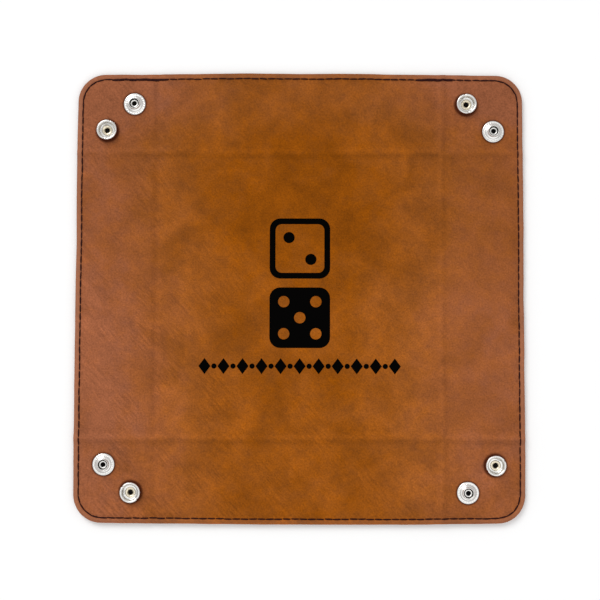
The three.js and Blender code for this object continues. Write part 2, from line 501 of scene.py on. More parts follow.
class Nodes:
    """A small helper for building one material's node tree."""

    def __init__(self, name, specular=0.5):
        self.material = bpy.data.materials.new(name)
        self.material.use_nodes = True
        self.tree = self.material.node_tree
        self.shader = self.tree.nodes["Principled BSDF"]
        self.shader.inputs["Specular IOR Level"].default_value = specular

    def feed(self, socket, value):
        """Gives a socket numbers, a colour as a tuple, or what another node puts out."""
        if isinstance(value, (int, float, list)):
            socket.default_value = value
        elif isinstance(value, tuple):
            socket.default_value = (*value, 1)
        else:
            self.tree.links.new(value, socket)

    def add(self, kind, inputs, output, **settings):
        """A new node with its settings and inputs; gives back one of its outputs."""
        node = self.tree.nodes.new(kind)
        for key, value in settings.items():
            setattr(node, key, value)
        for socket, value in inputs.items():
            self.feed(node.inputs[socket], value)
        return node.outputs[output]

    def attribute(self, name, output="Fac"):
        return self.add("ShaderNodeAttribute", {}, output, attribute_name=name)

    def place(self, scale, turn=0.0, stretch=(1, 1, 1)):
        """Rest coordinates in millimetres times scale, turned about Z, then stretched."""
        where = self.attribute("rest_place", "Vector")
        swung = self.add("ShaderNodeMapping", {"Vector": where, "Rotation": [0, 0, turn]}, 0)
        sizes = [1000 * scale * s for s in stretch]
        return self.add("ShaderNodeMapping", {"Vector": swung, "Scale": sizes}, 0)

    def noise(self, vector, detail=4.0, roughness=0.5, distortion=0.0):
        inputs = {"Vector": vector, "Scale": 1.0, "Detail": detail, "Roughness": roughness,
                  "Distortion": distortion}
        return self.add("ShaderNodeTexNoise", inputs, "Fac")

    def ramp(self, value, stops):
        colour = self.add("ShaderNodeValToRGB", {"Fac": value}, "Color")
        bar = colour.node.color_ramp.elements
        while len(bar) < len(stops):
            bar.new(0.5)
        for element, (position, tint) in zip(bar, stops):
            element.position = position
            element.color = (*tint, 1)
        return colour

    def mix(self, share, first, second):
        inputs = {0: share, 6: first, 7: second}
        return self.add("ShaderNodeMix", inputs, 2, data_type="RGBA")

    def math(self, operation, first, second=0.0, third=0.0):
        inputs = {0: first, 1: second, 2: third}
        return self.add("ShaderNodeMath", inputs, 0, operation=operation)

    def product(self, first, second):
        return self.math("MULTIPLY", first, second)

    def sum(self, first, second):
        return self.math("ADD", first, second)

    def less(self, first, second):
        return self.math("SUBTRACT", first, second)

    def size(self, value):
        return self.math("ABSOLUTE", value)

    def varied(self, value, pattern, strength, level=1.0):
        """A value times level + strength * pattern."""
        return self.product(value, self.math("MULTIPLY_ADD", pattern, strength, level))

    def clamped(self, value, low, high, to_low, to_high):
        """Maps a range onto another smoothly, and holds it at both ends."""
        inputs = {"Value": value, "From Min": low, "From Max": high, "To Min": to_low, "To Max": to_high}
        return self.add("ShaderNodeMapRange", inputs, "Result", interpolation_type="SMOOTHSTEP")

    def scaled(self, colour, factor):
        return self.add("ShaderNodeVectorMath", {0: colour, "Scale": factor}, 0, operation="SCALE")

    def bump(self, height, strength, distance, **below):
        """Bumps of a pattern, over those of Normal where it is given."""
        inputs = {"Height": height, "Strength": strength, "Distance": distance, **below}
        return self.add("ShaderNodeBump", inputs, "Normal")

    def set(self, **values):
        for key, value in values.items():
            self.feed(self.shader.inputs[key.replace("_", " ").title()], value)


def srgb(red, green, blue):
    """A colour given on the usual 0 to 255 scale, as linear values."""
    shares = (red / 255, green / 255, blue / 255)
    return tuple(c / 12.92 if c <= 0.04045 else ((c + 0.055) / 1.055) ** 2.4 for c in shares)


LEATHER_SPECULAR = 0.10
RIM_COLOUR = srgb(166, 116, 92)  # the margin outside the seam
SNAP_SHADOW_COLOUR = srgb(58, 15, 6)  # painted contact shadow, dark red, close round a snap


def leather_material(name, colours, worn):
    """Leatherette: orange in the middle and pinker towards the ends, partly its own tone and partly a
    painted sheen; cloudy and finely creased.

    colours run from the middle to the edge; worn is the strength of the clouds.
    """
    n = Nodes(name, LEATHER_SPECULAR)
    x, y, _ = n.add("ShaderNodeSeparateXYZ", {0: n.attribute("rest_place", "Vector")}, 0).node.outputs

    cloud = n.noise(n.place(1 / 24), detail=2.5, roughness=0.55, distortion=0.5)
    blotch = n.noise(n.place(1 / 8), detail=4.0, roughness=0.66)
    grain = n.noise(n.place(1 / 0.8), detail=3.0, roughness=0.6)
    slant = n.place(1 / 4, turn=0.7, stretch=(0.35, 1, 1))
    wrinkle = n.noise(slant, detail=4.0, roughness=0.6, distortion=0.8)
    wrinkle = n.clamped(n.size(n.less(wrinkle, 0.5)), 0.0, 0.05, 0.0, 1.0)

    share = mottle_and_sheen_share(n, x, y, cloud, blotch)
    colour = n.ramp(share, list(zip((0.0, 0.2, 0.5, 0.8, 1.0), colours)))
    # lightness, with painted light across the tray and along the welts
    colour = n.scaled(colour, tone_and_painted_light(n, x, y, cloud, blotch, grain, wrinkle, worn))
    colour = n.mix(rim_share(n, x, y), colour, RIM_COLOUR)
    # painted contact shadow round every snap
    colour = n.mix(painted_snap_shadow(n, x, y), colour, SNAP_SHADOW_COLOUR)

    inputs = {"Vector": n.place(1 / 0.9), "Scale": 1.0}
    pores = n.add("ShaderNodeTexVoronoi", inputs, "Distance", feature="DISTANCE_TO_EDGE")
    normal = n.bump(blotch, 0.30, 0.6 * MM)
    normal = n.bump(wrinkle, 0.25, 0.2 * MM, Normal=normal)
    normal = n.bump(grain, 0.45, 0.2 * MM, Normal=normal)
    normal = n.bump(n.math("MINIMUM", pores, 0.12), 0.45, 0.4 * MM, Normal=normal)
    rough = n.clamped(blotch, 0.3, 0.7, 0.48, 0.62)
    n.set(Base_color=colour, Roughness=rough, Normal=normal)
    n.shader.inputs["Specular Tint"].default_value = (1.0, 0.62, 0.35, 1)
    return n.material


def mottle_and_sheen_share(n, x, y, cloud, blotch):
    """How far the colour is from the middle's to the edge's: the leather's own clouds and blotches, over
    a gradient towards the ends that is partly its own tone and partly a painted sheen.
    """
    # gradient towards the ends and the back flap: partly the leather's tone, partly a painted sheen
    share = n.clamped(n.size(x), 18 * MM, HALF, 0.0, 0.86)
    share = n.sum(share, n.clamped(y, 35 * MM, -10 * MM, 0.0, 0.16))
    share = n.sum(share, n.clamped(y, 74 * MM, 105 * MM, 0.0, 0.42))
    share = n.sum(share, n.clamped(x, 60 * MM, HALF, 0.0, -0.15))
    share = n.math("MULTIPLY_ADD", n.less(cloud, 0.5), 0.45, share)
    return n.math("MULTIPLY_ADD", n.less(blotch, 0.5), -0.55, share)


def tone_and_painted_light(n, x, y, cloud, blotch, grain, wrinkle, worn):
    """How light the leather is, round 1: its own clouds, grain and wrinkles, with painted light, darker
    at the back and lighter towards the front, and painted light and shade along the welts.
    """
    # painted light: darker at the back, lighter towards the front
    tone = n.clamped(y, HALF, -50 * MM, 0.93, 1.06)
    lively = n.clamped(n.size(x), 95 * MM, 55 * MM, worn, 1.5 * worn)
    for pattern, strength in ((cloud, 0.55), (blotch, 0.62)):
        tone = n.varied(tone, n.product(n.less(pattern, 0.5), strength), lively)
    tone = n.varied(tone, n.less(grain, 0.5), 1.05 * worn)
    tone = n.varied(tone, wrinkle, 0.07 * worn, 1 - 0.06 * worn)
    tone = n.varied(tone, fine_lines(n, x, y), 0.24 * worn)
    # painted light and shade along the welts, on top of their real relief
    return n.varied(tone, n.attribute("painted_crease_light_and_shade"), 0.095)


def rim_share(n, x, y):
    """How pale the margin outside the seam is: paler at the left and right than at back and front."""
    sideways = n.clamped(n.less(n.size(x), n.size(y)), -30 * MM, 30 * MM, 0.18, 0.44)
    rim = n.clamped(n.attribute("edge_gap"), STITCH_INSET * 1.05, STITCH_INSET * 0.6, 0.0, 1.0)
    return n.product(rim, sideways)


def fine_lines(n, x, y):
    """Fine slanting wrinkles, which come in drifts, mostly on the left and in front."""
    slant = n.place(1 / 1.1, turn=0.85, stretch=(0.13, 1, 1))
    hair = n.noise(slant, detail=2.0, roughness=0.5, distortion=0.4)
    hair = n.less(n.clamped(hair, 0.36, 0.64, 0.0, 1.0), 0.5)
    drift = n.clamped(n.noise(n.place(1 / 17), detail=2.0), 0.42, 0.62, 0.0, 1.0)
    side = n.math("MULTIPLY_ADD", n.sum(x, n.product(y, 0.7)), -6.0, 0.35)
    return n.product(hair, n.product(drift, n.clamped(side, 0.0, 1.0, 0.18, 1.0)))


def painted_snap_shadow(n, x, y):
    """How strongly a dark red contact shadow is painted close round every snap."""
    ax, ay = n.size(x), n.size(y)
    near, far = (float(place) for place in sorted(np.abs(SNAPS[0])))
    rings = []
    for cx, cy in ((near, far), (far, near)):
        dx, dy = n.less(ax, cx), n.less(ay, cy)
        away = n.math("SQRT", n.sum(n.product(dx, dx), n.product(dy, dy)))
        rings.append(n.clamped(away, 5.4 * MM, 6.9 * MM, 0.9, 0.0))
    return n.math("MAXIMUM", *rings)


def thread_material():
    """Waxed thread: near black with a maroon cast and a twisted lay."""
    n = Nodes("waxed_thread", specular=0.1)
    lay = n.noise(n.place(1 / 0.35), detail=2.0)
    colour = n.ramp(lay, [(0.3, srgb(7, 2, 3)), (0.7, srgb(60, 16, 14))])
    n.set(Base_color=colour, Roughness=0.6, Normal=n.bump(lay, 0.6, 0.2 * MM))
    return n.material


def plated_metal(name, tint, roughness):
    """Bright plate with a faint haze of handling wear."""
    n = Nodes(name)
    haze = n.noise(n.place(1 / 1.4), detail=4.0, roughness=0.6)
    low = tuple(0.93 * c for c in tint)
    rough = n.clamped(haze, 0.35, 0.7, roughness * 0.85, roughness * 1.2)
    n.set(Base_color=n.ramp(haze, [(0.3, low), (0.6, tint)]), Roughness=rough, Metallic=1.0)
    return n.material


def bore_shade_material():
    """Painted shade: near black and dull, for the insides of posts and the recess round a stud's eyelet,
    where shade falls.
    """
    n = Nodes("painted_bore_shade", specular=0.1)
    shade_noise = n.noise(n.place(1 / 0.6), detail=3.0)
    colour = n.ramp(shade_noise, [(0.3, (0.012, 0.011, 0.010)), (0.7, (0.035, 0.032, 0.028))])
    n.set(Base_color=colour, Roughness=0.8)
    return n.material


def print_material():
    """The burnt black floor of the engraved mark."""
    n = Nodes("engraved_black", specular=0.03)
    char = n.noise(n.place(1 / 0.5), detail=6.0, roughness=0.7)
    colour = n.ramp(char, [(0.3, (0.0003, 0.0003, 0.0003)), (0.75, (0.0016, 0.0012, 0.0010))])
    n.set(Base_color=colour, Roughness=1.0, Normal=n.bump(char, 0.4, 0.1 * MM))
    return n.material


def board_material():
    """Grey-brown pulp board, with its fibres along one way."""
    n = Nodes("pulp_board")
    fibre = n.noise(n.place(1 / 0.9, stretch=(1, 0.3, 1)), detail=5.0)
    colour = n.ramp(fibre, [(0.3, srgb(120, 106, 84)), (0.7, srgb(166, 150, 124))])
    n.set(Base_color=colour, Roughness=0.9, Normal=n.bump(fibre, 0.3, 0.2 * MM))
    return n.material


def floor_material():
    """Plain matt white."""
    n = Nodes("pale_floor", specular=0.1)
    n.set(Base_color=(0.97, 0.97, 0.97), Roughness=0.9)
    return n.material


LINING = leather_material("mottled_lining", [
    srgb(137, 71, 3), srgb(143, 77, 17), srgb(145, 81, 31), srgb(147, 84, 46), srgb(149, 88, 58)], 1.0)
BACKING = leather_material("plain_backing", [
    srgb(128, 72, 26), srgb(130, 73, 28), srgb(131, 74, 30), srgb(132, 75, 33), srgb(134, 77, 36)], 0.6)
THREAD = thread_material()
NICKEL = plated_metal("bright_nickel", (0.83, 0.815, 0.785), 0.28)
BRASS = plated_metal("brassy_post", (0.80, 0.72, 0.56), 0.30)
STEEL_WIRE = plated_metal("spring_wire", (0.60, 0.59, 0.57), 0.35)
# near-black painted shade for bores and the stud's recess
BORE_SHADE = bore_shade_material()
ENGRAVED = print_material()
BOARD = board_material()
FLOOR = floor_material()


# ------ stitching

def seam_point(travel):
    """Place on the seam of the back side, measured from the middle of its flap.

    travel runs to the right along the flap, round the back right corner to its diagonal.
    """
    start = HALF - CORNER_RADIUS
    radius = CORNER_RADIUS - STITCH_INSET
    if travel <= start:
        return travel, HALF - STITCH_INSET
    angle = (travel - start) / radius
    return start + radius * math.sin(angle), start + radius * math.cos(angle)


def seam_holes():
    """Where the needle went through along a whole side, from the left diagonal to the right."""
    end = HALF - CORNER_RADIUS + (CORNER_RADIUS - STITCH_INSET) * math.pi / 4
    count = 2 * int(round(end / STITCH_PITCH))
    travels = np.linspace(-end, end, count + 1)
    holes = []
    for travel in travels:
        x, y = seam_point(abs(travel))
        holes.append((math.copysign(x, travel), y))
    return np.array(holes)


STRAND_RINGS = (0.02, 0.07, 0.16, 0.34, 0.5, 0.66, 0.84, 0.93, 0.98)  # shares of its length
STRAND_SIDES = 8


def circle(steps):
    """The cosine and sine of each of the evenly spaced steps of a full turn."""
    turns = [2 * math.pi * step / steps for step in range(steps)]
    return [(math.cos(turn), math.sin(turn)) for turn in turns]


def stitch_rings(start, end, width, lift, height_at, outward):
    """The rings of one stitch: a plump strand that dives into the leather at both ends."""
    run = end - start
    length = np.linalg.norm(run)
    along = run / length
    side = np.array([-along[1], along[0]])
    rings = []
    for share in STRAND_RINGS:
        centre = start + run * share
        rise = math.sin(math.pi * share) ** 0.35
        swell = 0.45 + 0.55 * rise
        level = height_at(centre[0], centre[1])
        ring = []
        for cosine, sine in circle(STRAND_SIDES):
            out = side * cosine * width / 2 * swell
            up = outward * (sine * width * 0.36 * swell + lift * (rise - 0.72))
            ring.append((centre[0] + out[0], centre[1] + out[1], level + up))
        rings.append(ring)
    return rings


def add_tube(mesh, rings):
    """A closed tube through rings of points."""
    loops = [[mesh.verts.new(point) for point in ring] for ring in rings]
    for first, second in zip(loops, loops[1:]):
        join_rings(mesh, first, second)
    mesh.faces.new(list(reversed(loops[0])))
    mesh.faces.new(loops[-1])


def surface_at(surface):
    """A surface's height as a plain number at one place."""
    return lambda x, y: float(surface(np.array([x]), np.array([y]))[0])


CORNER_OVERLAP = 0.07  # share of a stitch by which it passes its holes round a corner
STITCH_LIFT = 0.30 * MM  # how far a strand stands out between its holes
DOUBLED_LAYERS = 4  # strands over a stitch where the thread was run over itself
DOUBLED_STRETCHES = ((-95 * MM, -71 * MM), (57 * MM, 77 * MM))  # along the back edge


def doubled(start, end):
    """Whether the thread was run over itself at a stitch, near an end of the back edge."""
    x, y = (start + end) / 2
    return y > HALF - 2 * STITCH_INSET and any(low < x < high for low, high in DOUBLED_STRETCHES)


def stitch_run(name, holes, seed):
    """One piece of seam: a stitch between each two holes, on the face and on the back."""
    random = np.random.RandomState(seed)
    face, back = surface_at(face_height), surface_at(back_height)
    mesh = bmesh.new()
    for start, end in zip(holes, holes[1:]):
        wander = random.uniform(-0.12, 0.12, 2) * MM
        width = random.uniform(0.72, 0.86) * MM
        ends = np.array([start + wander[0], end + wander[1]])
        a, b = np.stack(wavy(ends[:, 0], ends[:, 1]), axis=-1)
        if min(*np.abs(start + end)) / 2 > HALF - CORNER_RADIUS - 6 * MM:
            a, b = a - (b - a) * CORNER_OVERLAP, b + (b - a) * CORNER_OVERLAP
        add_tube(mesh, stitch_rings(a, b, width, STITCH_LIFT, face, 1))
        add_tube(mesh, stitch_rings(a, b, width, STITCH_LIFT, back, -1))
        for layer in range(DOUBLED_LAYERS if doubled(start, end) else 0):
            over = np.array([0.0, random.uniform(-0.40, 0.12) * MM])
            over = (b - a) * (0.24 * layer + random.uniform(0.0, 0.12)) + over
            lift = STITCH_LIFT * (1.3 + 0.3 * layer)
            add_tube(mesh, stitch_rings(a + over, b + over, width * 1.15, lift, face, 1))
    obj = finished(name, outward_data(name, mesh), sharp=80)
    obj.data.materials.append(THREAD)
    return obj


# ------ snaps

def lathe(name, profile, steps, shift=None):
    """A closed turned mesh; shift moves its points, for dimples and notches."""
    mesh = bmesh.new()
    rings = []
    for radius, height in profile:
        if radius < 1e-9:
            rings.append([mesh.verts.new((0, 0, height))])
            continue
        ring = []
        for step in range(steps):
            turn = 2 * math.pi * step / steps
            r, h = (radius, height) if shift is None else shift(turn, radius, height)
            ring.append(mesh.verts.new((r * math.cos(turn), r * math.sin(turn), h)))
        rings.append(ring)
    for first, second in zip(rings, rings[1:]):
        join_rings(mesh, first, second)
    if len(rings[0]) > 1 and len(rings[-1]) > 1:
        join_rings(mesh, rings[-1], rings[0])
    return outward_data(name, mesh)


def join_rings(mesh, first, second):
    """Faces between two rings of points, either of which may be a single point."""
    count = max(len(first), len(second))
    for k in range(count):
        after = (k + 1) % count
        if len(first) == 1:
            mesh.faces.new((first[0], second[after], second[k]))
        elif len(second) == 1:
            mesh.faces.new((first[k], first[after], second[0]))
        else:
            mesh.faces.new((first[k], first[after], second[after], second[k]))


def rounded_profile(points, rounds=3):
    """Softens a profile's corners: each inner point becomes a short curve."""
    points = [np.array(p, float) for p in points]
    out = [points[0]]
    for before, here, after in zip(points, points[1:], points[2:]):
        in_length, out_length = np.linalg.norm(here - before), np.linalg.norm(after - here)
        reach = min(in_length, out_length) * 0.42
        enter = here + (before - here) / in_length * reach
        leave = here + (after - here) / out_length * reach
        for k in range(rounds + 1):
            t = k / rounds
            out.append(enter * (1 - t) ** 2 + here * 2 * t * (1 - t) + leave * t ** 2)
    out.append(points[-1])
    return [(float(r) * MM, float(h) * MM) for r, h in out]


def socket_shape():
    """The cup's cross-section in millimetres, up its outside, over its rolled rim and down."""
    top = LEAF_HIGH / MM
    return rounded_profile([
        (2.1, top), (4.35, top), (4.3, top + 0.3), (4.2, top + 1.9), (4.5, top + 2.4),
        (5.1, top + 2.75), (5.18, top + 3.2), (4.85, top + 3.5), (4.45, top + 3.48), (3.95, top + 3.1),
        (3.75, top + 2.6), (3.95, top + 2.0), (3.9, top + 0.9), (3.5, top + 0.6), (2.1, top + 0.6),
    ])


def socket_cap_shape():
    """The cap's dome under the leaf, and its post with the upset head inside the socket."""
    floor = LEAF_HIGH / MM + 0.65
    return rounded_profile([
        (0, 0), (5.2, 0), (6.0, 0.3), (6.25, 0.75), (6.0, 1.08), (1.8, 1.08),
        (1.8, floor), (2.6, floor), (2.75, floor + 0.15), (2.3, floor + 0.42), (1.7, floor + 0.38),
        (1.2, floor - 0.1), (1.1, 1.2), (0, 0.9),
    ])


def stud_shape():
    """The stud's flange, and its hollow boss with a lip."""
    top = LEAF_HIGH / MM
    return rounded_profile([
        (1.75, top), (5.5, top), (5.6, top + 0.25), (5.25, top + 0.5), (4.65, top + 0.42),
        (4.1, top + 0.55), (3.75, top + 0.95), (3.2, top + 1.05), (2.85, top + 1.3), (2.8, top + 1.9),
        (3.08, top + 2.5), (2.85, top + 2.95), (2.55, top + 3.0), (2.4, top + 2.75), (2.35, top + 0.9),
        (1.75, top + 0.8),
    ])


def eyelet_shape():
    """The hollow post of a stud, with a thin web across its bore that takes the painted bore shade: a
    dark sheet where there is only shade.
    """
    roll = LEAF_HIGH / MM + 1.25
    return rounded_profile([
        (0, 1.3), (1.12, 1.3), (1.15, 0.35), (1.5, 0), (4.4, 0), (5.0, 0.35), (5.05, 0.8), (4.7, 1.08),
        (1.45, 1.08), (1.45, roll), (1.8, roll + 0.05), (2.02, roll + 0.3), (1.8, roll + 0.62),
        (1.35, roll + 0.6), (1.12, roll + 0.2), (1.12, 1.6), (0, 1.6),
    ])


DIMPLES = 23
DIMPLE_DEPTH = 0.11 * MM
NOTCH_TURNS = (4.9, 1.76)  # where the spring wire leaves a socket's rim, in radians
NOTCH_WIDTH = 0.07


def stud_dimples(turn, radius, height):
    """Sinks a ring of small dimples into the stud's flange."""
    spot = math.exp(-(((radius - 4.7 * MM) / (0.30 * MM)) ** 2))
    over = height > LEAF_HIGH + 0.3 * MM
    wave = max(0.0, math.cos(turn * DIMPLES)) ** 2
    return radius, height - (DIMPLE_DEPTH * spot * wave if over else 0)


def socket_notches(turn, radius, height):
    """Sinks two small notches into the socket's rim."""
    if height < LEAF_HIGH + 2.3 * MM:
        return radius, height
    notch = sum(math.exp(-(((turn - place) / NOTCH_WIDTH) ** 2)) for place in NOTCH_TURNS)
    return radius - 0.22 * MM * notch, height - 0.25 * MM * notch


BORE_RADIUS = 1.2 * MM  # shade is painted on a post inside this radius,
STUD_RECESS = 2.5 * MM  # and a stud inside this one, round its eyelet,
STUD_LIP = 1.8 * MM  # up to this height over the leaf


def paint_bore_shade(data, is_stud):
    """Gives the faces deep inside a post or a stud the second material, which is painted shade."""
    for polygon in data.polygons:
        reach = max(math.hypot(*data.vertices[i].co[:2]) for i in polygon.vertices)
        deep = is_stud and reach < STUD_RECESS and polygon.center.z < LEAF_HIGH + STUD_LIP
        if reach < BORE_RADIUS or deep:
            polygon.material_index = 1


def tint_head(data):
    """Gives a cap's upset post head, which shows inside its socket, the third material."""
    for polygon in data.polygons:
        if polygon.material_index == 0 and polygon.center.z > LEAF_HIGH:
            polygon.material_index = 2


def place_turned(name, data, place, turn, material, node, body, head=None):
    """Puts a turned part in its place, with painted shade in its bore, on its body."""
    data.materials.append(material)
    # the second material is painted shade for the bore
    data.materials.append(BORE_SHADE)
    paint_bore_shade(data, "stud" in name)
    if head is not None:
        data.materials.append(head)
        tint_head(data)
    data.transform(Matrix.Translation((*place, 0)) @ Matrix.Rotation(turn, 4, "Z"))
    obj = finished(name, data, sharp=50)
    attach(obj, body)
    if node:
        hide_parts(node)


WIRE_RADIUS = 0.2 * MM
WIRE_REACH = 2.9 * MM  # half the length of a spring wire
WIRE_LEVEL = LEAF_HIGH + 2.1 * MM


def spring_wires(name, place, turn, body):
    """Two spring wires, bowed slightly, that cross the socket just under its rim."""
    mesh = bmesh.new()
    for side in (-1, 1):
        rings = []
        for share in np.linspace(-1, 1, 9):
            along, off = share * WIRE_REACH, side * (3.35 - 0.45 * share * share) * MM
            rings.append([
                (along, off + WIRE_RADIUS * cosine, WIRE_LEVEL + WIRE_RADIUS * sine)
                for cosine, sine in circle(8)
            ])
        add_tube(mesh, rings)
    place_turned(name, outward_data(name, mesh), place, turn, STEEL_WIRE, None, body)


def snap_pair(corner, index):
    """The socket with its cap and springs, and the stud with its eyelet, each turned by hand."""
    turn = -index * math.pi / 2 + 0.35 * index

    def part(name, half, node, profile, steps, material, shift=None, head=None):
        name, place = f"{corner}_{name}", middle(f"{corner}_{half}")
        data = lathe(name, profile, steps, shift)
        body = f"corner_{corner}_{half}_half"
        place_turned(name, data, place, turn, material, f"{corner}_{node}", body, head)

    part("cap_dome", "socket", "cap", socket_cap_shape(), 64, NICKEL, head=BRASS)
    part("socket_cup", "socket", "socket", socket_shape(), 96, NICKEL, socket_notches)
    spring_wires(f"{corner}_socket_spring", middle(f"{corner}_socket"), turn + 0.8,
                 f"corner_{corner}_socket_half")
    part("eyelet_post", "stud", "eyelet", eyelet_shape(), 64, BRASS, head=NICKEL)
    part("stud_boss", "stud", "stud", stud_shape(), 184, NICKEL, stud_dimples)


# ------ the engraved mark

def prism(name, outline, low, high):
    """A closed upright prism over an outline of points."""
    mesh = bmesh.new()
    lower = [mesh.verts.new((x, y, low)) for x, y in outline]
    upper = [mesh.verts.new((x, y, high)) for x, y in outline]
    mesh.faces.new(list(reversed(lower)))
    mesh.faces.new(upper)
    join_rings(mesh, lower, upper)
    return placed(name, mesh_data(name, mesh))


def round_square(cy, size, radius, steps=8):
    """The outline of a square with round corners, in the middle from left to right."""
    points = []
    for quarter, (sx, sy) in enumerate(((1, 1), (-1, 1), (-1, -1), (1, -1))):
        for k in range(steps + 1):
            angle = math.pi / 2 * (quarter + k / steps)
            points.append((
                sx * (size / 2 - radius) + radius * math.cos(angle),
                cy + sy * (size / 2 - radius) + radius * math.sin(angle),
            ))
    return points


def disc(cx, cy, radius, steps=28):
    return [(cx + radius * cosine, cy + radius * sine) for cosine, sine in circle(steps)]


def lozenge(cx, cy, half_width, half_height):
    return [(cx + half_width, cy), (cx, cy + half_height), (cx - half_width, cy), (cx, cy - half_height)]


def carve(target, tool):
    """Cuts one object out of another, and removes the tool."""
    modifier = target.modifiers.new("carve", "BOOLEAN")
    modifier.object = tool
    modifier.operation = "DIFFERENCE"
    modifier.solver = "EXACT"
    modifier.material_mode = "TRANSFER"
    depsgraph = bpy.context.evaluated_depsgraph_get()
    result = bpy.data.meshes.new_from_object(target.evaluated_get(depsgraph))
    target.modifiers.clear()
    target.data = result
    bpy.data.objects.remove(tool)


MARK_DEPTH = 0.22 * MM
DIE = 31 * MM  # size of a die
DIE_ROUNDING = 5.5 * MM
DIE_STROKE = 3.0 * MM  # line of the outlined die
DIE_GAP = 4.5 * MM
MARK_MIDDLE = 7.0 * MM  # centre of the two dice, behind the centre of the tray
CHAIN_MIDDLE = -35.5 * MM  # a row of lozenges and dots in front of the dice
CHAIN_PITCH = 4.85 * MM
CHAIN_STEPS = 10
PIP = 2.9 * MM  # radius of a pip
TWO = ((-1, 1), (1, -1))  # the pips of a two, and of a five, round the middle of a die
FIVE = ((-1, 1), (1, 1), (-1, -1), (1, -1), (0, 0))
TWO_SPREAD = 5.6 * MM
FIVE_SPREAD = 8.2 * MM


def mark_cutters():
    """Upright prisms for the mark: one filled die, one outlined die, and a chain of lozenges."""
    low, high = PANEL_HIGH - 0.5 * MM, PANEL_HIGH + 2 * MM
    lower = MARK_MIDDLE - (DIE + DIE_GAP) / 2
    upper = MARK_MIDDLE + (DIE + DIE_GAP) / 2
    solid = prism("filled_die", round_square(lower, DIE, DIE_ROUNDING), low, high)
    for dx, dy in FIVE:
        pip = disc(dx * FIVE_SPREAD, lower + dy * FIVE_SPREAD, PIP)
        carve(solid, prism("pip", pip, low - MM, high + MM))
    ring = prism("outlined_die", round_square(upper, DIE, DIE_ROUNDING), low, high)
    inner = round_square(upper, DIE - 2 * DIE_STROKE, 3.2 * MM)
    carve(ring, prism("inside", inner, low - MM, high + MM))
    made = [solid, ring]
    for dx, dy in TWO:
        made.append(prism("pip", disc(dx * TWO_SPREAD, upper + dy * TWO_SPREAD, PIP), low, high))
    for step in range(-CHAIN_STEPS, CHAIN_STEPS + 1):
        x = step * CHAIN_PITCH
        if step % 2:
            made.append(prism("dot", disc(x, CHAIN_MIDDLE, 1.35 * MM), low, high))
        else:
            made.append(prism("lozenge", lozenge(x, CHAIN_MIDDLE, 3.1 * MM, 4.1 * MM), low, high))
    return made


def sink_to_surface(tool):
    """Lowers a cutter's foot to just under the leather, following its relief."""
    for vert in tool.data.vertices:
        if vert.co.z < PANEL_HIGH:
            vert.co.z = surface_at(face_height)(vert.co.x, vert.co.y) - MARK_DEPTH


def engrave(lining):
    """Cuts the mark into the lining, with a black floor."""
    lining.data.materials.append(ENGRAVED)
    for tool in mark_cutters():
        sink_to_surface(tool)
        tool.data.materials.clear()
        tool.data.materials.append(ENGRAVED)
        carve(lining, tool)
    finish_shading(lining.data, SHARP_EDGE)


# ------ knuckles in the bends

KNUCKLE_TURN = 46  # degrees that a knuckle reaches round its pivot


def knuckle_radius(x, corner_index):
    """The largest radius about the pivot that stays just under the leather at rest."""
    ahead = np.array([[x, PINCH + k * 0.4 * MM] for k in range(-1, 7)])
    places = turned(ahead, corner_index)
    return float(face_height(places[:, 0], places[:, 1]).min()) - LEAF_LOW - 0.06 * MM


def lining_piece(obj):
    """Gives a buried piece the lining's look and slot."""
    obj.data.materials.append(LINING)
    return obj


def knuckle(name, corner_index):
    """The round of leather behind the open pivot, which shows only while the corner is pinched."""
    mesh = bmesh.new()
    rings = []
    for x in np.linspace(FOLD + FOLD_BAND + 0.2 * MM, HALF - 1.6 * MM, 19):
        radius = knuckle_radius(x, corner_index)
        ring = [(x, PINCH, LEAF_LOW)]
        for angle in np.radians(np.linspace(90, 90 - KNUCKLE_TURN, 9)):
            ring.append((x, PINCH + radius * math.cos(angle), LEAF_LOW + radius * math.sin(angle)))
        rings.append(ring)
    add_tube(mesh, rings)
    data = outward_data(name, mesh)
    data.transform(Matrix.Rotation(-corner_index * math.pi / 2, 4, "Z"))
    return lining_piece(finished(name, data))


def oval_plan(centre, along, across, rings=5, steps=28):
    """A filled oval across the back right corner's diagonal: its points and its faces."""
    x, y, faces = [centre], [centre], []
    for ring in range(1, rings + 1):
        for cosine, sine in circle(steps):
            out, aside = along * ring / rings * cosine, across * ring / rings * sine
            x.append(centre + (out + aside) * math.sqrt(0.5))
            y.append(centre + (out - aside) * math.sqrt(0.5))
    for step in range(steps):
        after = (step + 1) % steps
        faces.append([0, 1 + after, 1 + step])
        for ring in range(rings - 1):
            inner, outer = 1 + ring * steps, 1 + (ring + 1) * steps
            faces.append([inner + step, inner + after, outer + after, outer + step])
    return np.array(x), np.array(y), faces


def gusset(name, corner_index):
    """The pad of leather under a corner's tip, which shows only while the tray is folded."""
    x, y, faces = oval_plan(FOLD + 0.3 * MM, 1.9 * MM, 4.6 * MM)
    x, y = turned(np.stack([x, y], axis=-1), corner_index).T
    top, bottom = face_height(x, y) - 0.08 * MM, np.full_like(x, LEAF_LOW + 0.2 * MM)
    return lining_piece(slab(name, (x, y, faces), top, bottom))


# ------ assembly

REACH = DIAGONAL_BAND * math.sqrt(0.5)

# The strips of the back side that bend: where each starts, where it ends, and at what height.
FLAP_STRIP = (0, FOLD - FOLD_BAND), (0, FOLD + FOLD_BAND), PANEL_HIGH
PINCH_STRIP = (PINCH - PINCH_BAND, 0), (PINCH + PINCH_BAND, 0), LEAF_LOW
DIAGONAL_STRIP = (FOLD - REACH, FOLD + REACH), (FOLD + REACH, FOLD - REACH), LEAF_HIGH


def bend(obj, node):
    """Lets a piece stand for a CAD node by hiding the node, and bakes the piece's transform."""
    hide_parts(node)
    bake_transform(obj)


def build_base():
    lining, backing = leather_pair("base", base_plan(), 0)
    engrave(lining)
    for obj, node in ((lining, "base_lining"), (backing, "base_backing")):
        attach(obj, "base")
        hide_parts(node)
        declare_ply(obj)


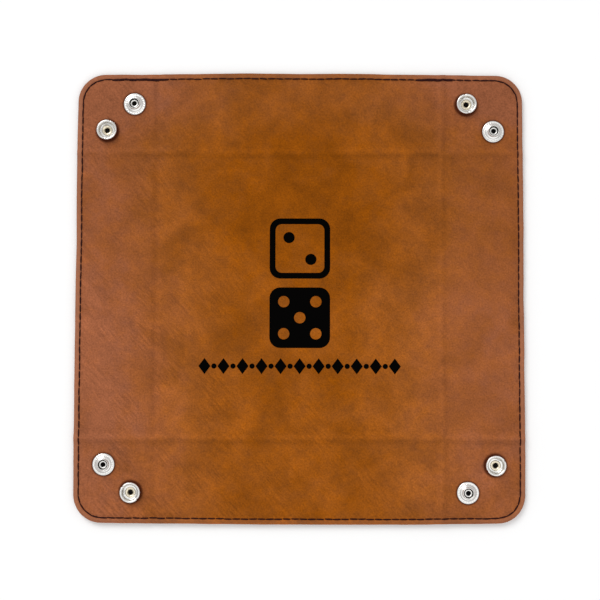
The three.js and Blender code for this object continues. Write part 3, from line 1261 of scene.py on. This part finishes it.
def build_side(index):
    """A flap and the two halves of the corner at its right end, with their seams."""
    corner, flap = CORNERS[index], f"flap_{SIDES[index]}"
    socket_half, stud_half = f"corner_{corner}_socket_half", f"corner_{corner}_stud_half"
    socket_leaf, stud_leaf = f"{corner}_socket_leaf", f"{corner}_stud_leaf"
    bends = (
        (flap, ("base", flap), FLAP_STRIP),
        (socket_leaf, (flap, socket_half), PINCH_STRIP),
        (stud_leaf, (socket_half, stud_half), DIAGONAL_STRIP),
    )
    plans = (
        (flap_plan(), [f"{flap}_board"], None),
        (socket_leaf_plan(), [], f"{corner}_socket"),
        (stud_leaf_plan(), [], f"{corner}_stud"),
    )
    for (name, bodies, strip), (plan, rests_on, snap) in zip(bends, plans):
        for obj, ply in zip(leather_pair(name, plan, index, snap), ("lining", "backing")):
            bend(obj, f"{name}_{ply}")
            declare_ply(obj)
    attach(knuckle(f"{corner}_knuckle", index), f"flap_{SIDES[(index + 1) % 4]}")
    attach(gusset(f"{corner}_gusset", index), "base")
    for (name, bodies, strip), holes, seed in zip(bends, seam_parts(index), (100, 200, 300)):
        seam = stitch_run(f"{name}_seam", holes, seed + index)
        bend(seam, f"{name}_stitching")


def seam_parts(index):
    """The needle holes along a flap, along its socket half, and round the corner on the stud half."""
    holes = seam_holes()
    middles = (holes[:-1] + holes[1:]) / 2
    x = middles[:, 0]
    from_split = (middles - np.array(SPLIT_POINT[:2])) @ np.array(SPLIT_NORMAL[:2])
    on_flap = np.abs(x + PINCH_BAND / 2) < PINCH - PINCH_BAND / 2
    on_socket_leaf = (x >= PINCH - PINCH_BAND) & (from_split > 0)
    past_split = (x > 0) & (from_split <= 0)

    def run(chosen, side):
        stitches = np.flatnonzero(chosen)
        return turned(holes[stitches[0]:stitches[-1] + 2], side)

    round_corner = np.concatenate([run(past_split, index), run(x <= -PINCH, index + 1)[1:]])
    return run(on_flap, index), run(on_socket_leaf, index), round_corner


def build_boards():
    """Gives the five boards, which stay CAD pieces, their material."""
    for node in ["base_board"] + [f"flap_{side}_board" for side in SIDES]:
        materials = bpy.data.objects[node].data.materials
        materials.clear()
        materials.append(BOARD)


# ------ floor, light and camera

FLOOR_REACH = 3.0
FLOOR_GAP = 0.2 * MM  # under the lowest part of the tray


def build_floor():
    mesh = bmesh.new()
    corners = ((-1, -1), (1, -1), (1, 1), (-1, 1))
    mesh.faces.new([mesh.verts.new((x * FLOOR_REACH, y * FLOOR_REACH, 0)) for x, y in corners])
    floor = placed("floor", mesh_data("floor", mesh))
    floor.data.materials.append(FLOOR)
    floor.location.z = -FLOOR_GAP


def area_light(name, place, size, power):
    """A square light that faces the middle of the tray."""
    data = bpy.data.lights.new(name, "AREA")
    data.size = size
    data.energy = power
    light = placed(name, data)
    light.location = place
    light.rotation_euler = (-Vector(place)).to_track_quat("-Z", "Y").to_euler()


def build_light():
    """A bright white room, a key light behind on the left, and a faint one overhead."""
    world = bpy.data.worlds.new("studio")
    bpy.context.scene.world = world
    world.use_nodes = True
    background = world.node_tree.nodes["Background"]
    background.inputs["Color"].default_value = (1, 1, 1, 1)
    background.inputs["Strength"].default_value = 0.65
    area_light("key", (-1.60, 2.30, 2.60), 1.9, 60.0)
    area_light("overhead", (0.15, -0.45, 1.2), 1.3, 3.3)
    bpy.context.scene.view_settings.view_transform = "Standard"
    bpy.context.scene.view_settings.look = "None"


CAMERA_DISTANCE = 0.62
CAMERA_TILT = math.radians(3.42)
CAMERA_ROLL = math.radians(0.16)
CAMERA_TARGET = Vector((0.0001, -0.0017, PANEL_HIGH))
VIEW_WIDTH = 0.3066  # what the picture spans at the tray


def build_camera():
    """Almost straight above the tray."""
    data = bpy.data.cameras.new("camera")
    data.sensor_width = 36
    data.lens = data.sensor_width * CAMERA_DISTANCE / VIEW_WIDTH
    camera = placed("camera", data)
    back = Vector((0, -math.sin(CAMERA_TILT), math.cos(CAMERA_TILT)))
    camera.location = CAMERA_TARGET + back * CAMERA_DISTANCE
    camera.rotation_mode = "QUATERNION"
    roll = Matrix.Rotation(CAMERA_ROLL, 3, "Z").to_quaternion()
    camera.rotation_quaternion = (-back).to_track_quat("-Z", "Y") @ roll
    bpy.context.scene.camera = camera


build_camera()
build_base()
for side_index in range(4):
    build_side(side_index)
    snap_pair(CORNERS[side_index], side_index)
build_boards()
build_floor()
build_light()
